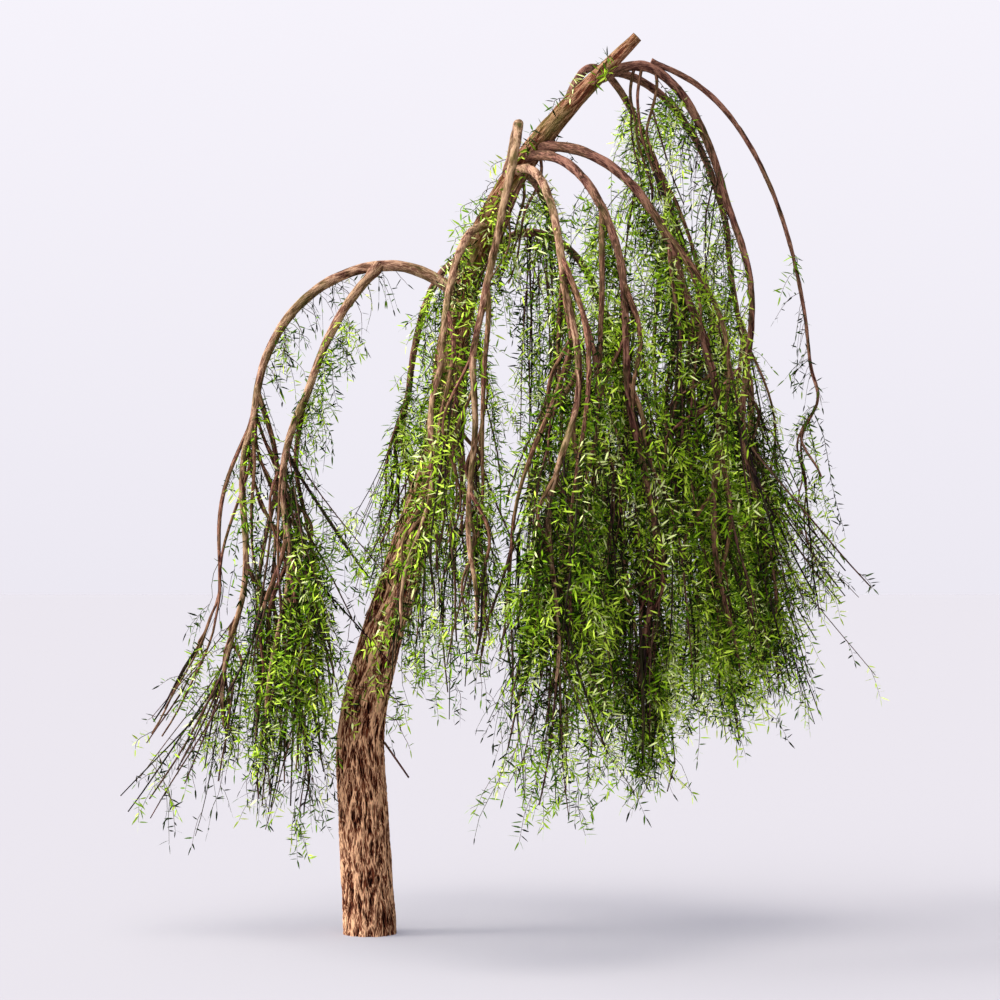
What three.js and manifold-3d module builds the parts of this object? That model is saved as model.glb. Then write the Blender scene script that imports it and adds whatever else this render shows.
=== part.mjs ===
// A weeping willow: a leaning trunk, arching boughs that hang at their ends, and curtains of foliage.
// Millimetres, +Z up. The origin is the centre of the flat cut under the trunk, at ground level.
// +X is the side the tree leans to, and +Y is its back.
import * as THREE from "three";
import { mergeVertices } from "three/addons/utils/BufferGeometryUtils.js";
import Module from "manifold-3d";

const wasm = await Module();
wasm.setup();

// ---- Driving dimensions ----

const CLEARANCE = 0.4; // gap kept between pieces that touch

// The trunk's centre line and radius, from the cut at the ground to the sawn tip.
const TRUNK_STATIONS = [
  { x: 0, y: 0, z: 0, radius: 184 },
  { x: -52, y: 0, z: 910, radius: 177 },
  { x: -72, y: 0, z: 1400, radius: 168 },
  { x: 18, y: 0, z: 1900, radius: 153 },
  { x: 240, y: 0, z: 2650, radius: 133 },
  { x: 484, y: 0, z: 3430, radius: 119 },
  { x: 590, y: -20, z: 4260, radius: 107 },
  { x: 823, y: -90, z: 5050, radius: 93 },
  { x: 1253, y: -220, z: 5720, radius: 77 },
  { x: 1905, y: -450, z: 6372, radius: 38 },
];
const FLARE_HEIGHT = 160; // the trunk widens a little below this height
const FLARE_GROWTH = 0.03; // share of the radius added at the ground
const TRUNK_SIDES = 16;
const TRUNK_STEPS = 22;
const GROUND_BLOCK = 1000; // side of the block that cuts the trunk flat
const GROUND_OVERCUT = 60; // how far the trunk runs below the ground before it is cut

const BOUGH_SIDES = 6;
const BOUGH_STEP = 240; // length of limb between two rings
const SPLIT_RISE = 150; // a bough that rises more than this is two pieces, parted at its crest

const MASS_SIDES = 11;
const MASS_LEVELS = 9;
const MASS_TOP_SINK = 90; // how far a bough's end reaches into the foliage it carries
const MASS_BULGE = 0.55; // share of its height at which a mass is widest
const MASS_FULLNESS = 0.5; // below 1 makes a mass blunter at its top
const HEM_SHARE = 8 / 9; // the lowest ring of a mass, where its hem hangs
const HEM_WIDTH = 0.72; // width of that ring beside the widest one
const HEM_HOLLOW = 120; // how far the middle of the underside lies above the hem
const MASS_FALL = 2.5; // above 1 brings a mass under the far end of its bough sooner
const MASS_KICK = 1.7; // above 1 makes the drift of a mass grow towards its hem
const HEM_WAVE = 110; // how far the hem of a mass rises and falls round it
const HEM_WAVE_COUNT = 4;
// Waves round a mass: how many go round it, how far they twist on their way down, how much of the
// mass's phase shifts them, and their depth as a share of its width.
const MASS_WAVES = [
  { count: 3, twist: 4, shift: 1, depth: 0.13 },
  { count: 5, twist: 7, shift: -2, depth: 0.08 },
  { count: 2, twist: 11, shift: 3, depth: 0.07 },
];

const MERGE_DISTANCE = 1e-3; // vertices closer than this are one
const END_SHARE = 1e-3; // a share this close to 0 or 1 is an end
const SHARE_HALVINGS = 30; // steps that find a height on the trunk

const TRUNK_BARK = { color: 0x7a5340, roughness: 0.95 };
const BOUGH_BARK = { color: 0x6b4436, roughness: 0.9 };
const FOLIAGE = { color: 0x4f6a1c, roughness: 0.8 };

// A bough leaves its carrier at a height on the trunk, or at a share of its parent's length. It runs
// out under its heading (degrees from +X towards +Y), rises to its crest and then falls to its end.
// Crest and reach are measured outwards and rise and fall upright. Sway bows it sideways, slack
// above 1 makes it hang steeply from the start, and ends is the share at which foliage hides it.
const BOUGHS = [
  {
    name: "left_bough", height: 4560, heading: 177,
    crest: 530, rise: 246, reach: 1500, fall: 1080, thick: 48, thin: 30,
  },
  {
    name: "left_inner_bough", parent: "left_bough", share: 0.3, heading: 205, ends: 0.82,
    crest: 0, rise: 0, reach: 600, fall: 1300, slack: 1.8, thick: 40, thin: 28,
  },
  {
    name: "right_top_bough", height: 5980, heading: 6, ends: 0.8,
    crest: 470, rise: 230, reach: 1130, fall: 1650, slack: 1.2, thick: 44, thin: 24,
  },
  {
    name: "right_outer_bough", parent: "right_top_bough", share: 0.24, heading: 9, ends: 0.92,
    crest: 0, rise: 0, reach: 1225, fall: 2480, thick: 24, thin: 12,
  },
  {
    name: "right_back_bough", height: 6080, heading: 40, ends: 0.82,
    crest: 240, rise: 90, reach: 1400, fall: 1560, thick: 34, thin: 22,
  },
  {
    name: "back_loop_bough", height: 5880, heading: 53, sway: 260, ends: 0.85,
    crest: 740, rise: 450, reach: 1720, fall: 1700, thick: 34, thin: 24,
  },
  {
    name: "front_loop_bough", height: 5370, heading: 260, sway: 210,
    crest: 440, rise: 350, reach: 1450, fall: 1740, thick: 40, thin: 24,
  },
  {
    name: "front_left_bough", height: 5060, heading: 255, ends: 0.9,
    crest: 0, rise: 0, reach: 1160, fall: 1330, thick: 34, thin: 22,
  },
  {
    name: "right_front_bough", height: 5600, heading: 328, slack: 1.15, ends: 0.76,
    crest: 180, rise: 20, reach: 1240, fall: 1390, thick: 42, thin: 28,
  },
  {
    name: "front_right_bough", height: 5540, heading: 299, slack: 1.1, ends: 0.8,
    crest: 120, rise: 12, reach: 1380, fall: 1400, thick: 40, thin: 26,
  },
  {
    name: "front_bough", height: 5460, heading: 281, ends: 0.85,
    crest: 0, rise: 0, reach: 1580, fall: 1330, thick: 36, thin: 24,
  },
  {
    name: "back_arch_bough", height: 4650, heading: 46,
    crest: 750, rise: 465, reach: 1530, fall: 780, thick: 40, thin: 26,
  },
  {
    name: "back_high_bough", height: 5430, heading: 74, ends: 0.85,
    crest: 260, rise: 70, reach: 1560, fall: 1260, thick: 38, thin: 24,
  },
  {
    name: "back_middle_bough", height: 5120, heading: 97, ends: 0.85,
    crest: 180, rise: 60, reach: 1700, fall: 1300, thick: 38, thin: 24,
  },
  {
    name: "back_left_bough", height: 4740, heading: 112, ends: 0.9,
    crest: 240, rise: 120, reach: 1300, fall: 1150, thick: 36, thin: 24,
  },
];

// A mass hangs from a bough's end, under a share of a bough's length, or from a top of its own. Its
// hem is at a height, shifted by its drift, and across and deep are its half widths along its turned
// axes. Phase makes each one uneven in its own way.
const MASSES = [
  {
    name: "left_outer_curtain", bough: "left_bough", hem: 900, drift: [-120, 0],
    across: 220, deep: 330, turn: 0, phase: 0.4,
  },
  {
    name: "left_inner_curtain", bough: "left_inner_bough", hem: 640, drift: [-90, 60],
    across: 290, deep: 330, turn: 10, phase: 1.9,
  },
  {
    name: "left_fan_spray", top: [-1090, 60, 2420], hem: 1290, drift: [-560, 20],
    across: 170, deep: 280, turn: 0, phase: 2.6,
  },
  {
    name: "left_back_curtain", top: [-560, 430, 3300], hem: 820, drift: [-120, 200],
    across: 300, deep: 310, turn: 35, phase: 3.7,
  },
  {
    name: "right_front_curtain", bough: "right_front_bough", hem: 1400, drift: [120, -60],
    across: 400, deep: 360, turn: 30, phase: 0.9,
  },
  {
    name: "front_right_curtain", bough: "front_right_bough", hem: 1090, drift: [-20, -60],
    across: 370, deep: 330, turn: 15, phase: 4.4,
  },
  {
    name: "front_curtain", bough: "front_bough", hem: 1110, drift: [-180, -60],
    across: 330, deep: 320, turn: 0, phase: 2.2,
  },
  {
    name: "front_loop_curtain", bough: "front_loop_bough", hem: 1800, drift: [-60, 0],
    across: 210, deep: 260, turn: 0, phase: 5.1,
  },
  {
    name: "trunk_side_curtain", bough: "front_left_bough", hem: 1760, drift: [-280, 60],
    across: 230, deep: 270, turn: 20, phase: 1.2,
  },
  {
    name: "right_curtain", bough: "right_top_bough", hem: 1540, drift: [230, 0],
    across: 330, deep: 380, turn: 0, phase: 3.1,
  },
  {
    name: "right_outer_curtain", bough: "right_outer_bough", hem: 2100, drift: [260, 0],
    across: 190, deep: 280, turn: 0, phase: 0.2,
  },
  {
    name: "right_back_curtain", bough: "right_back_bough", hem: 1520, drift: [120, 180],
    across: 360, deep: 380, turn: 40, phase: 5.6,
  },
  {
    name: "back_right_curtain", bough: "back_loop_bough", hem: 1400, drift: [60, 260],
    across: 380, deep: 380, turn: 80, phase: 2.9,
  },
  {
    name: "back_arch_curtain", bough: "back_arch_bough", hem: 1300, drift: [-60, -120],
    across: 310, deep: 300, turn: 60, phase: 4.0,
  },
  {
    name: "back_curtain", bough: "back_high_bough", hem: 1280, drift: [60, 260],
    across: 370, deep: 350, turn: 95, phase: 1.5,
  },
  {
    name: "back_middle_curtain", bough: "back_middle_bough", hem: 1480, drift: [-40, 220],
    across: 290, deep: 310, turn: 100, phase: 3.4,
  },
  {
    name: "back_left_curtain", bough: "back_left_bough", hem: 1760, drift: [-40, 120],
    across: 230, deep: 300, turn: 115, phase: 5.9,
  },
  {
    name: "upper_spray", bough: "right_top_bough", under: 0.14, hem: 4900, drift: [360, 60],
    across: 240, deep: 280, turn: 0, phase: 0.7,
  },
  {
    name: "upper_trunk_spray", top: [1130, -170, 5700], hem: 4360, drift: [-380, 60],
    across: 250, deep: 300, turn: 0, phase: 2.0,
  },
  {
    name: "trunk_spray", top: [560, -30, 4400], hem: 2080, drift: [-640, -40],
    across: 190, deep: 260, turn: 0, phase: 4.8,
  },
];

// ---- Solids and cuts ----

// Turns a closed three.js geometry into a solid that can be cut.
function solidFrom(geometry) {
  const plain = geometry.clone();
  plain.deleteAttribute("normal");
  plain.deleteAttribute("uv");
  const merged = mergeVertices(plain, MERGE_DISTANCE);
  return new wasm.Manifold(
    new wasm.Mesh({
      numProp: 3,
      vertProperties: merged.attributes.position.array,
      triVerts: new Uint32Array(merged.index.array),
    }),
  );
}

// Turns a solid back into a three.js geometry.
function geometryFrom(solid) {
  const mesh = solid.getMesh();
  const geometry = new THREE.BufferGeometry();
  geometry.setAttribute("position", new THREE.BufferAttribute(mesh.vertProperties, 3));
  geometry.setIndex(new THREE.BufferAttribute(mesh.triVerts, 1));
  geometry.computeVertexNormals();
  return geometry;
}

// Cuts a solid back from the grown forms of its neighbours and keeps its largest body.
function cutRound(solid, neighbours) {
  let rest = solid;
  for (const neighbour of neighbours) {
    rest = rest.subtract(neighbour);
  }
  const bodies = rest.decompose();
  bodies.sort((a, b) => b.volume() - a.volume());
  return bodies[0];
}

// ---- Limbs ----

// A closed cylinder bent along a curve. Its radius follows the share of the length, and growth makes
// it thicker and longer all round. Side is the direction that its rings keep level with, and overcut
// is a length added at its start.
function limbGeometry({ curve, radiusAt, side, sides, steps, growth, overcut = 0 }) {
  const geometry = new THREE.CylinderGeometry(1, 1, 1, sides, steps);
  const position = geometry.attributes.position;
  const across = new THREE.Vector3();
  const over = new THREE.Vector3();
  for (let i = 0; i < position.count; i += 1) {
    const share = position.getY(i) + 0.5;
    const tangent = curve.getTangent(share);
    const centre = curve.getPoint(share);
    over.crossVectors(side, tangent).normalize();
    across.crossVectors(tangent, over);
    if (share < END_SHARE) {
      centre.addScaledVector(tangent, -growth - overcut);
    } else if (share > 1 - END_SHARE) {
      centre.addScaledVector(tangent, growth);
    }
    const radius = radiusAt(share) + growth;
    centre.addScaledVector(across, position.getX(i) * radius);
    centre.addScaledVector(over, position.getZ(i) * radius);
    position.setXYZ(i, centre.x, centre.y, centre.z);
  }
  return geometry;
}

const trunkCurve = new THREE.CatmullRomCurve3(
  TRUNK_STATIONS.map(({ x, y, z }) => new THREE.Vector3(x, y, z)),
);

// The trunk's share of its length at a height above the ground.
function trunkShareAt(height) {
  let low = 0;
  let high = 1;
  for (let i = 0; i < SHARE_HALVINGS; i += 1) {
    const middle = (low + high) / 2;
    if (trunkCurve.getPoint(middle).z < height) {
      low = middle;
    } else {
      high = middle;
    }
  }
  return low;
}

function trunkRadiusAt(share) {
  const along = share * (TRUNK_STATIONS.length - 1);
  const index = Math.min(Math.floor(along), TRUNK_STATIONS.length - 2);
  const below = TRUNK_STATIONS[index].radius;
  const above = TRUNK_STATIONS[index + 1].radius;
  const radius = THREE.MathUtils.lerp(below, above, along - index);
  const height = trunkCurve.getPoint(share).z;
  const flare = THREE.MathUtils.clamp(1 - height / FLARE_HEIGHT, 0, 1);
  return radius * (1 + FLARE_GROWTH * flare * flare);
}

function trunkSolid(growth) {
  return solidFrom(
    limbGeometry({
      curve: trunkCurve,
      radiusAt: trunkRadiusAt,
      side: new THREE.Vector3(0, 1, 0),
      sides: TRUNK_SIDES,
      steps: TRUNK_STEPS,
      growth,
      overcut: GROUND_OVERCUT,
    }),
  );
}

// The flat cut at ground level is made by a block whose top is the ground.
function groundBlock() {
  const geometry = new THREE.BoxGeometry(GROUND_BLOCK, GROUND_BLOCK, GROUND_BLOCK);
  geometry.translate(0, 0, -GROUND_BLOCK / 2);
  return solidFrom(geometry);
}

// The arch of a bough, from its fork at 0 to its end at 1: a parabola up to the crest, then the
// quarter of an ellipse down to the end.
class ArchCurve extends THREE.Curve {
  constructor(start, bough) {
    super();
    const { heading, crest, rise, reach, fall, sway = 0, slack = 1, ends = 1 } = bough;
    const turn = THREE.MathUtils.degToRad(heading);
    Object.assign(this, { start, crest, rise, reach, fall, sway, slack, ends });
    this.outward = new THREE.Vector3(Math.cos(turn), Math.sin(turn), 0);
    this.side = new THREE.Vector3(-Math.sin(turn), Math.cos(turn), 0);
    this.crestShare = (crest + rise) / (rise + reach + fall);
  }

  getPoint(share, target = new THREE.Vector3()) {
    let out = 0;
    let up = 0;
    if (share < this.crestShare) {
      const climb = share / this.crestShare;
      out = this.crest * climb;
      up = this.rise * (1 - (1 - climb) ** 2);
    } else {
      const angle = ((share - this.crestShare) / (1 - this.crestShare)) * (Math.PI / 2);
      out = this.crest + (this.reach - this.crest) * Math.sin(angle) ** this.slack;
      up = this.rise - this.fall * (1 - Math.cos(angle));
    }
    target.copy(this.start).addScaledVector(this.outward, out);
    target.addScaledVector(this.side, this.sway * Math.sin(Math.PI * share));
    target.z += up;
    return target;
  }
}

// A stretch of a longer curve, from one share of its length to another.
class Stretch extends THREE.Curve {
  constructor(curve, from, to) {
    super();
    Object.assign(this, { curve, from, to });
  }

  getPoint(share, target = new THREE.Vector3()) {
    return this.curve.getPoint(THREE.MathUtils.lerp(this.from, this.to, share), target);
  }
}

// The solid of one stretch of a bough.
function boughSolid(arch, bough, from, to, growth) {
  const curve = new Stretch(arch, from, to);
  const steps = Math.max(3, Math.round(curve.getLength() / BOUGH_STEP));
  return solidFrom(
    limbGeometry({
      curve,
      radiusAt: (share) =>
        THREE.MathUtils.lerp(bough.thick, bough.thin, THREE.MathUtils.lerp(from, to, share)),
      side: arch.side,
      sides: BOUGH_SIDES,
      steps,
      growth,
    }),
  );
}

// ---- Masses of foliage ----

// The uneven swelling of a mass at an angle round it and a share of its height.
function unevenness(angle, share, phase) {
  let swelling = 1;
  for (const { count, twist, shift, depth } of MASS_WAVES) {
    swelling += depth * Math.sin(count * angle + twist * share + shift * phase);
  }
  return swelling;
}

// The width of a mass beside its widest ring, at a share of the way from its top to its hem.
function fullnessAt(share) {
  const swelling = Math.sin((Math.PI / 2) * Math.min(1, share / MASS_BULGE)) ** MASS_FULLNESS;
  const narrowing = Math.max(0, (share - MASS_BULGE) / (1 - MASS_BULGE)) ** 2;
  return swelling * THREE.MathUtils.lerp(1, HEM_WIDTH, narrowing);
}

// A sphere drawn out into a hanging curtain: narrow at its top, widest below its middle, open and
// uneven along its hem. Its middle line runs from top to foot, and drifts on towards the hem.
function massSolid(mass, top, foot, growth) {
  const geometry = new THREE.SphereGeometry(1, MASS_SIDES, MASS_LEVELS);
  const position = geometry.attributes.position;
  const turn = THREE.MathUtils.degToRad(mass.turn);
  const height = top.z - mass.hem;
  const middle = new THREE.Vector3();
  for (let i = 0; i < position.count; i += 1) {
    const level = Math.acos(THREE.MathUtils.clamp(position.getY(i), -1, 1)) / Math.PI;
    const angle = Math.atan2(position.getZ(i), position.getX(i));
    const isFoot = level > 1 - END_SHARE;
    const isPole = level < END_SHARE || isFoot;
    const share = Math.min(1, level / HEM_SHARE);
    const fullness = isPole ? 0 : fullnessAt(share);
    const swelling = fullness * unevenness(angle, share, mass.phase);
    const ringGrowth = isPole ? 0 : growth;
    const across = Math.cos(angle) * (mass.across * swelling + ringGrowth);
    const deep = -Math.sin(angle) * (mass.deep * swelling + ringGrowth);
    middle.lerpVectors(top, foot, 1 - (1 - share) ** MASS_FALL);
    const drift = share ** MASS_KICK;
    const wave = Math.sin(HEM_WAVE_COUNT * angle + mass.phase);
    const hemWave = HEM_WAVE * fullness * share ** 2 * wave;
    const hollow = isFoot ? HEM_HOLLOW : 0;
    position.setXYZ(
      i,
      middle.x + mass.drift[0] * drift + across * Math.cos(turn) - deep * Math.sin(turn),
      middle.y + mass.drift[1] * drift + across * Math.sin(turn) + deep * Math.cos(turn),
      top.z - height * share + hemWave + hollow + growth * (1 - 2 * level),
    );
  }
  return solidFrom(geometry);
}

// ---- The tree ----

const tree = new THREE.Group();
const grownPieces = [];

// Adds a piece cut back from all that stand already, and keeps its grown form for the next ones.
function addPiece(name, solid, grown, { color, roughness }) {
  const material = new THREE.MeshStandardMaterial({ color, roughness, metalness: 0 });
  const mesh = new THREE.Mesh(geometryFrom(cutRound(solid, grownPieces)), material);
  mesh.name = name;
  tree.add(mesh);
  grownPieces.push(grown);
}

const cutTrunk = trunkSolid(0).subtract(groundBlock());
addPiece("trunk", cutTrunk, trunkSolid(CLEARANCE), TRUNK_BARK);

const arches = new Map();
for (const bough of BOUGHS) {
  const start = bough.parent
    ? arches.get(bough.parent).getPoint(bough.share)
    : trunkCurve.getPoint(trunkShareAt(bough.height));
  const arch = new ArchCurve(start, bough);
  arches.set(bough.name, arch);
  const isSplit = bough.rise > SPLIT_RISE;
  const stretches = isSplit
    ? [["_rise", 0, arch.crestShare], ["_fall", arch.crestShare, arch.ends]]
    : [["", 0, arch.ends]];
  for (const [ending, from, to] of stretches) {
    addPiece(
      bough.name + ending,
      boughSolid(arch, bough, from, to, 0),
      boughSolid(arch, bough, from, to, CLEARANCE),
      BOUGH_BARK,
    );
  }
}

// Where a mass hangs: round the end of its bough, under a place on its bough, or at its own top.
function hangingPlace(mass) {
  if (mass.top) {
    const top = new THREE.Vector3(...mass.top);
    return { top, foot: top };
  }
  const arch = arches.get(mass.bough);
  if (mass.under) {
    const top = arch.getPoint(mass.under);
    return { top, foot: top };
  }
  const top = arch.getPoint(arch.ends);
  top.z += MASS_TOP_SINK;
  return { top, foot: arch.getPoint(1) };
}

for (const mass of MASSES) {
  const { top, foot } = hangingPlace(mass);
  addPiece(
    mass.name,
    massSolid(mass, top, foot, 0),
    massSolid(mass, top, foot, CLEARANCE),
    FOLIAGE,
  );
}

export default tree;
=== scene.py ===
# %% [markdown]
# A weeping willow, built as a lesson in growing a plant inside a fixed frame. The frame holds the
# trunk, the boughs and the outlines of the hanging foliage as plain solids. Here the trunk and boughs
# get their bark, and each foliage solid is replaced by limbs, twigs and leaves that grow on from the
# boughs. Lengths are in metres, turns in radians, +Z is up, and the trunk stands on the origin.

# %% Open the fixed frame
import math
import bpy
import numpy as np
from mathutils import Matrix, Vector, noise
from mathutils.bvhtree import BVHTree
from mathutils.kdtree import KDTree


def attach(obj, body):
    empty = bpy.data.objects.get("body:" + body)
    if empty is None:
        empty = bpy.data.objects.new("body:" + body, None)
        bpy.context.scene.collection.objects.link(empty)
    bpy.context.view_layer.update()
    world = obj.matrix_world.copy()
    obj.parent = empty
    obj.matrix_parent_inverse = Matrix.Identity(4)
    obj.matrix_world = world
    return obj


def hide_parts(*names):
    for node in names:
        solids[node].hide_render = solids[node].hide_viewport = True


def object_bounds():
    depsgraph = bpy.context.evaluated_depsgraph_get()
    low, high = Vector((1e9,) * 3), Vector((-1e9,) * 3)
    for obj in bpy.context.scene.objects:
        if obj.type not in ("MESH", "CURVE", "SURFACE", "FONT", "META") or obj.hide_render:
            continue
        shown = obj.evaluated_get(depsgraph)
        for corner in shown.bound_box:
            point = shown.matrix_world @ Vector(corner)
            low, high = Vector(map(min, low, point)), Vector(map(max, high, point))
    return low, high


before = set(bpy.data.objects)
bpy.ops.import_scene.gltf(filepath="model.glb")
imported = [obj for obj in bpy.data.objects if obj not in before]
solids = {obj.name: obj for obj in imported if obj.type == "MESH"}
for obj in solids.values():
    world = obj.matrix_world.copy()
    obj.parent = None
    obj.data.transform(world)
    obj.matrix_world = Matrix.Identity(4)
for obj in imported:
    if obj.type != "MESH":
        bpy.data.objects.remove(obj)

cad_low, cad_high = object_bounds()
rng = np.random.default_rng(20)
bpy.ops.object.select_all(action="DESELECT")
print(len(solids), "solids, height", round(cad_high.z, 3))

# %% [markdown]
# The camera comes first, because everything is judged through it. A tree this tall is looked at from
# about three heights away with a long lens, so that it isn't stretched towards the top. The eye is
# well above head height and tilted up a little, which shows the foot of the trunk as a thin ellipse.

# %% Place the camera
CAMERA_PLACE = (0.931, -18.2, 2.471)
CAMERA_TILT_DEG = 2.0
CAMERA_LENS_MM = 91.0
CAMERA_SENSOR_MM = 36.0

bpy.ops.object.camera_add(
    location=CAMERA_PLACE, rotation=(math.radians(90 + CAMERA_TILT_DEG), 0, 0)
)
camera = bpy.context.object
camera.name = "willow_camera"
camera.data.lens = CAMERA_LENS_MM
camera.data.sensor_width = CAMERA_SENSOR_MM
bpy.context.scene.camera = camera
print("camera lens", camera.data.lens, "mm")

# %% [markdown]
# The sky and every finish are made of shader nodes. A node is added, set and wired in the same way
# each time, so a helper does all three, and a finish then reads as a short list of steps.

# %% Add, set and wire nodes
def fill(node, inputs):
    """Gives each of these inputs of a node a value, or the output of another node."""
    for title, value in inputs.items():
        if isinstance(value, bpy.types.NodeSocket):
            node.id_data.links.new(value, node.inputs[title])
        else:
            node.inputs[title].default_value = value
    return node


def add_node(tree, kind, inputs, **settings):
    """A new shader node in a tree."""
    node = tree.nodes.new("ShaderNode" + kind)
    for title, value in settings.items():
        setattr(node, title, value)
    return fill(node, inputs)


def ranged(value, low, high, to_low=0.0, to_high=1.0):
    """Spreads a value from one range to another, held at both ends."""
    ends = {"From Min": low, "From Max": high, "To Min": to_low, "To Max": to_high}
    return add_node(value.id_data, "MapRange", {"Value": value, **ends}).outputs["Result"]


def sums(operation, a, b):
    """One step of arithmetic on a value that changes over the surface."""
    return add_node(a.id_data, "Math", {0: a, 1: b}, operation=operation).outputs["Value"]


def mixed_colour(share, a, b):
    """A blend of two colours."""
    inputs = {"Factor": share, "A": a, "B": b}
    return add_node(share.id_data, "Mix", inputs, data_type="RGBA").outputs["Result"]


def new_finish(name):
    """A new material, and its shader."""
    finish = bpy.data.materials.new(name)
    finish.use_nodes = True
    return finish, finish.node_tree.nodes["Principled BSDF"]


# %% [markdown]
# A studio is a pale floor under a pale sky. The sky lights the tree mostly from the left, so shadows
# are wide and faint. Two sun lamps help it: a wide one overhead, and a stronger one low on the left
# that gives bark and leaves a lit side and a dark side. Only the camera sees the plain faded sky.

# %% Lay the floor and hang the lamps
FLOOR_RADIUS = 1500.0
FLOOR_COLOUR = (0.332, 0.312, 0.306, 1)
FLOOR_GLOW = (0.131, 0.133, 0.194, 1)
OVERHEAD_TURNED = (math.radians(14), math.radians(2), 0)
SIDE_LAMP_WAY = (-0.93, -0.15, 0.37)

bpy.ops.mesh.primitive_circle_add(vertices=96, radius=FLOOR_RADIUS, fill_type="NGON")
floor = bpy.context.object
floor.name = "studio_floor"
floor_finish, floor_shader = new_finish("pale_floor")
floor_sockets = {"Emission Color": FLOOR_GLOW, "Emission Strength": 1.0, "Specular IOR Level": 0.0}
fill(floor_shader, {"Base Color": FLOOR_COLOUR, "Roughness": 1.0, **floor_sockets})
floor.data.materials.append(floor_finish)

# Each lamp: its place, how it is turned, its strength, its width in degrees, and its colour.
side_turned = Vector(SIDE_LAMP_WAY).to_track_quat("Z", "Y").to_euler()
LAMPS = {
    "overhead_lamp": ((-4, -6, 12), OVERHEAD_TURNED, 1.3, 32.0, (1.0, 0.98, 0.94)),
    "side_lamp": ((-14, -6, 6), side_turned, 3.2, 24.0, (1, 1, 1)),
}
for name, (place, turned, strength, width_deg, colour) in LAMPS.items():
    bpy.ops.object.light_add(type="SUN", location=place)
    lamp = bpy.context.object
    lamp.name = name
    lamp.rotation_euler = turned
    lamp.data.energy = strength
    lamp.data.angle = math.radians(width_deg)
    lamp.data.color = colour

# %% Make the sky
SKY_TOP = (0.920, 0.895, 0.965, 1)
SKY_FOOT = (0.840, 0.815, 0.890, 1)
SKY_SEEN_DEG = 13.0
SKY_LIGHT = (0.93, 0.95, 1.0, 1)
SKY_BRIGHT_WAY = (-0.80, -0.10, 0.60)
SKY_BRIGHT_SIDE = 3.30
SKY_DIM_SIDE = 0.06
SKY_GATHER = 3.0

sky = bpy.data.worlds.new("studio_sky")
bpy.context.scene.world = sky
sky.use_nodes = True
tree = sky.node_tree
tree.nodes.clear()
sky_way = add_node(tree, "TexCoord", {}).outputs["Generated"]
sky_height = add_node(tree, "SeparateXYZ", {"Vector": sky_way}).outputs["Z"]
sky_fade = ranged(sky_height, 0.0, math.sin(math.radians(SKY_SEEN_DEG)))
sky_seen = add_node(tree, "Background", {"Color": mixed_colour(sky_fade, SKY_FOOT, SKY_TOP)})
facing = add_node(tree, "VectorMath", {0: sky_way, 1: SKY_BRIGHT_WAY}, operation="DOT_PRODUCT")
facing = sums("POWER", ranged(facing.outputs["Value"], -1.0, 1.0), SKY_GATHER)
sky_strength = ranged(facing, 0.0, 1.0, SKY_DIM_SIDE, SKY_BRIGHT_SIDE)
sky_lighting = add_node(tree, "Background", {"Color": SKY_LIGHT, "Strength": sky_strength})
by_camera = add_node(tree, "LightPath", {}).outputs["Is Camera Ray"]
skies = {1: sky_lighting.outputs["Background"], 2: sky_seen.outputs["Background"]}
both = add_node(tree, "MixShader", {"Fac": by_camera, **skies})
add_node(tree, "OutputWorld", {"Surface": both.outputs["Shader"]})
bpy.context.scene.view_settings.view_transform = "Standard"
print("floor, lamps and sky are in place")

# %% [markdown]
# The boughs are bent rods in the frame, and a new mesh has to follow them exactly. Their middle line
# can be read back by walking up inside each rod: at every step a ring of rays is cast square to the
# walk, and the middle of the hits is the middle of the rod. This needs no list of points.

# %% Walk up inside a limb
WALK_STEP = 0.05
WALK_RAYS = 12
RAY_REACH = 0.4
START_RISE = 0.03
UP = np.array([0.0, 0.0, 1.0])


def unit(v):
    """The same directions, each of length 1."""
    return v / np.linalg.norm(v, axis=-1, keepdims=True)


def level_way(turn):
    """The level direction at a turn round the Z axis."""
    return np.array([math.cos(turn), math.sin(turn), 0.0])


def corners_of(*names):
    """The corners of some solids."""
    return np.array([v.co for name in names for v in solids[name].data.vertices])


def ray_tree(names):
    """One ray-casting tree for several solids."""
    faces = []
    offset = 0
    for name in names:
        mesh = solids[name].data
        faces += [[offset + i for i in p.vertices] for p in mesh.polygons]
        offset += len(mesh.vertices)
    return BVHTree.FromPolygons([Vector(corner) for corner in corners_of(*names)], faces)


def ring_of_hits(tree, centre, along):
    """Where rays cast square to a direction meet the wall round a centre, and how far off."""
    side = unit(np.cross(along, [0.31, 0.87, 0.12]))
    over = np.cross(along, side)
    hits = []
    for turn in np.linspace(0, math.tau, WALK_RAYS, endpoint=False):
        ray = math.cos(turn) * side + math.sin(turn) * over
        place, _, _, distance = tree.ray_cast(Vector(centre), Vector(ray), RAY_REACH)
        if place is not None:
            hits.append((np.array(place), distance))
    return hits


def walk(names, start):
    """The middle line and radii of the limb that these solids make, from start upwards."""
    tree = ray_tree(names)
    centre = np.array(start)
    along = UP
    line = []
    radii = []
    while True:
        hits = ring_of_hits(tree, centre, along)
        if len(hits) < WALK_RAYS:
            break
        centre = np.mean([place for place, _ in hits], axis=0)
        hits = ring_of_hits(tree, centre, along)
        if len(hits) < WALK_RAYS:
            break
        line.append(centre)
        radii.append(np.mean([distance for _, distance in hits]))
        if len(line) > 1:
            along = unit(0.5 * along + unit(line[-1] - line[-2]))
        centre = centre + along * WALK_STEP
    return np.array(line), np.array(radii)


def smooth_line(values, passes=6):
    """Rounds the corners of a walked line, keeping its two ends."""
    values = values.copy()
    for _ in range(passes):
        values[1:-1] = (values[:-2] + 2 * values[1:-1] + values[2:]) / 4
    return values


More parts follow.
